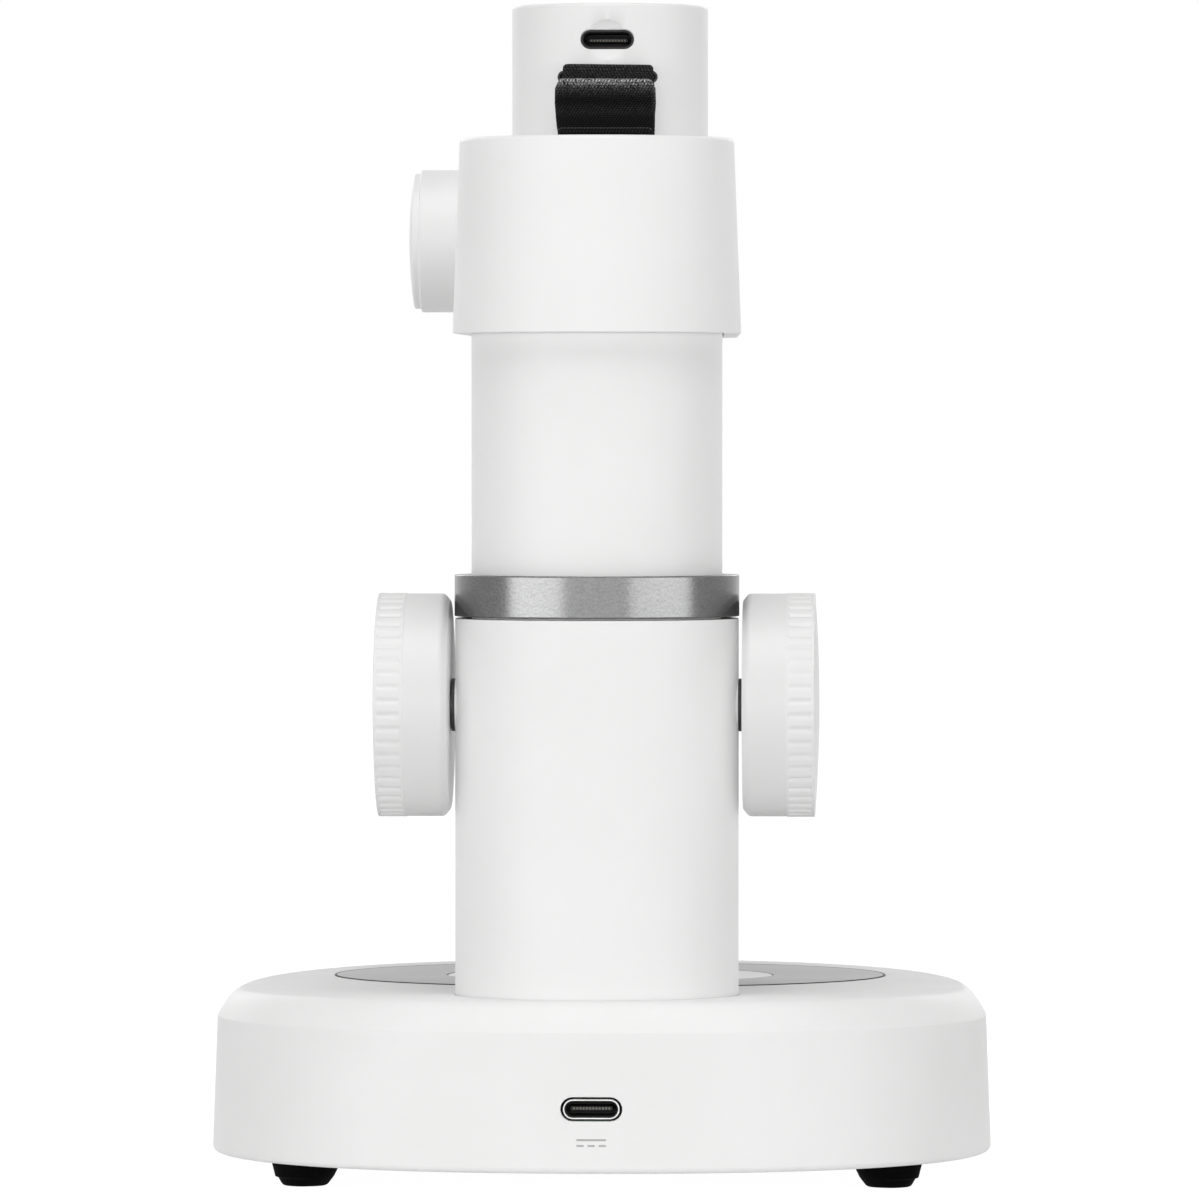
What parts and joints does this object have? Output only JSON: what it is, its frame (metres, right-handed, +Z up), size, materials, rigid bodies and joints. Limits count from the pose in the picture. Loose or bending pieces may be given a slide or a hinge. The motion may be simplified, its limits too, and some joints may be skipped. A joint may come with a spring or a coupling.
{
  "type": "digital microscope",
  "caption": "Digital microscope on a focusing stand: oval lit base, rack-and-pinion column with twin ribbed knobs, short arm with a lock knob, and a lift-out camera barrel with a wrist strap.",
  "frame": {"origin": "middle of the base's outline, on the surface the feet stand on", "axes": "+Z up; +Y towards the back, where the column and the power socket are; +X to the right hand of a user who faces the stage from the front"},
  "size_m": [0.1254, 0.1633, 0.19],
  "materials": {
    "white_plastic": "fine satin white moulding",
    "black_plastic": "satin black moulding",
    "black_rubber": "matt black rubber",
    "black_webbing": "twill-woven webbing",
    "blasted_aluminium": "bead-blasted, clear anodised",
    "steel": "plain bright",
    "plated_steel": "nickel plated",
    "brass": "machined",
    "cast_alloy": "as cast",
    "stage_grey": "matt grey",
    "button_grey": "satin light grey",
    "frosted_plastic": "frosted, lit from below",
    "circuit_board": "green solder mask",
    "battery_sleeve": "shrink sleeve",
    "lens_glass": "polished",
    "clear_glass": "clear"
  },
  "bodies": {
    "stand": {"base_shell": "white_plastic", "base_bottom_cover": "white_plastic", "foot_front_left": "black_rubber", "foot_front_right": "black_rubber", "foot_rear_left": "black_rubber", "foot_rear_right": "black_rubber", "cover_screw_front_left": "steel", "cover_screw_front_right": "steel", "cover_screw_rear_left": "steel", "cover_screw_rear_right": "steel", "stage_plate": "stage_grey", "stage_window": "frosted_plastic", "light_board": "circuit_board", "light_switch": "black_plastic", "base_usb_shell": "plated_steel", "base_usb_tongue": "black_plastic", "base_power_board": "circuit_board", "column_pillar": "cast_alloy", "column_bolt": "steel", "column_tube": "white_plastic", "column_ring": "blasted_aluminium", "guide_bush": "black_plastic", "shaft_bush_left": "black_plastic", "shaft_bush_right": "black_plastic"},
    "light_button": {"light_button": "button_grey"},
    "lift": {"inner_tube": "white_plastic", "rack": "brass", "arm_bracket": "cast_alloy", "arm_housing": "white_plastic", "arm_bottom_cover": "white_plastic", "arm_screw_left": "steel", "arm_screw_right": "steel", "clamp_sleeve": "black_plastic"},
    "focus_drive": {"focus_shaft": "steel", "pinion": "brass", "focus_knob_left": "white_plastic", "focus_knob_right": "white_plastic"},
    "lock_pad": {"lock_pad": "black_plastic"},
    "lock_knob": {"lock_knob": "white_plastic", "lock_screw": "steel"},
    "scope": {"scope_body": "white_plastic", "scope_cap": "white_plastic", "scope_usb_shell": "plated_steel", "scope_usb_tongue": "black_plastic", "main_board": "circuit_board", "button_board": "circuit_board", "battery": "battery_sleeve", "sensor_board": "circuit_board", "image_sensor": "black_plastic", "strap_pin": "steel", "hand_strap": "black_webbing", "led_ring": "circuit_board", "lens_hood": "black_plastic", "front_glass": "clear_glass"},
    "focus_ring": {"scope_focus_ring": "black_plastic"},
    "lens": {"lens_cell": "black_plastic", "objective_lens": "lens_glass"},
    "capture_button": {"capture_button": "black_plastic"},
    "power_button": {"power_button": "black_plastic"}
  },
  "joints": [
    {"name": "light_button_press", "type": "slide", "parent": "stand", "child": "light_button", "axis": [0, 1, 0], "range_m": [0, 0.0008], "stiffness_N_per_m": 400, "springref_m": -0.0006},
    {"name": "focus_slide", "type": "slide", "parent": "stand", "child": "lift", "axis": [0, 0, 1], "range_m": [-0.017, 0.025]},
    {"name": "focus_knob_spin", "type": "hinge", "parent": "stand", "child": "focus_drive", "pos_m": [0, 0.05275, 0.0763], "axis": [1, 0, 0], "range_deg": [-299, 204]},
    {"name": "lock_pad_slide", "type": "slide", "parent": "lift", "child": "lock_pad", "axis": [1, 0, 0], "range_m": [0, 0.0005]},
    {"name": "lock_knob_turn", "type": "hinge", "parent": "lock_pad", "child": "lock_knob", "pos_m": [0.0215, -0.01675, 0.1512], "axis": [1, 0, 0], "range_deg": [0, 360]},
    {"name": "scope_lift", "type": "slide", "parent": "lift", "child": "scope", "axis": [0, 0, 1], "range_m": [0, 0.095]},
    {"name": "focus_ring_turn", "type": "hinge", "parent": "scope", "child": "focus_ring", "pos_m": [0, -0.01675, 0.095], "axis": [0, 0, 1], "range_deg": [-135, 135]},
    {"name": "lens_slide", "type": "slide", "parent": "scope", "child": "lens", "axis": [0, 0, 1], "range_m": [-0.002, 0.002]},
    {"name": "capture_press", "type": "slide", "parent": "scope", "child": "capture_button", "axis": [0, 1, 0], "range_m": [0, 0.0007], "stiffness_N_per_m": 400, "springref_m": -0.0005},
    {"name": "power_press", "type": "slide", "parent": "scope", "child": "power_button", "axis": [0, 1, 0], "range_m": [0, 0.0007], "stiffness_N_per_m": 400, "springref_m": -0.0005}
  ],
  "couplings": [
    {"joint": "focus_knob_spin", "follows": "focus_slide", "rad_per_m": -208.33},
    {"joint": "lock_pad_slide", "follows": "lock_knob_turn", "m_per_rad": 0.000079577},
    {"joint": "lens_slide", "follows": "focus_ring_turn", "m_per_rad": 0.000848}
  ]
}
